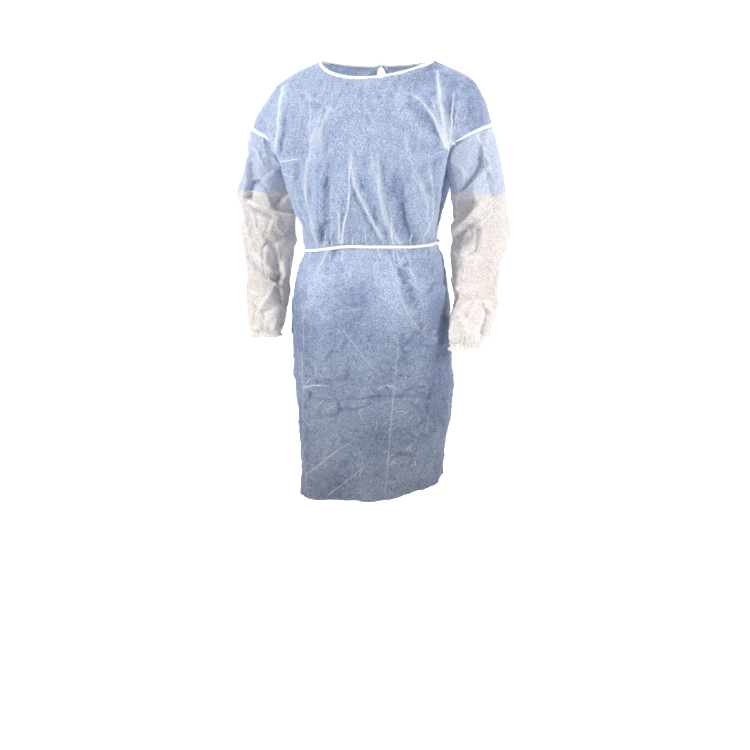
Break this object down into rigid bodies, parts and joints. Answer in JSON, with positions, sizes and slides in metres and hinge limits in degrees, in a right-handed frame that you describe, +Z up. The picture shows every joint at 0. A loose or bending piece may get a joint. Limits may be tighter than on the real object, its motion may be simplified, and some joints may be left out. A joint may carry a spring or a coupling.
{
  "type": "isolation gown",
  "caption": "Thin non-woven isolation gown in its worn form, open at the back, with bound neck, long elastic-cuffed sleeves and a waist tie.",
  "frame": {"origin": "midway between the two neck points of the shoulder seams, where the wearer's shoulders hold the gown up", "axes": "the wearer faces -Y, the wearer's left is +X, +Z is up"},
  "size_m": [0.6499, 0.2851, 1.0332],
  "materials": {
    "cloth": "thin translucent polypropylene non-woven, matt, pale cool white",
    "trim": "white non-woven tape, matt"
  },
  "bodies": {
    "root": {"front_panel": "cloth", "back_panel_left": "cloth", "back_panel_right": "cloth", "sleeve_left": "cloth", "sleeve_right": "cloth", "cuff_left": "cloth", "cuff_right": "cloth", "neck_binding": "trim", "armhole_tape_left": "trim", "armhole_tape_right": "trim", "waist_tie": "trim", "neck_knot": "trim", "waist_knot": "trim", "neck_tail_left": "trim", "neck_tail_right": "trim", "waist_tail_left": "trim", "waist_tail_right": "trim"}
  },
  "joints": []
}
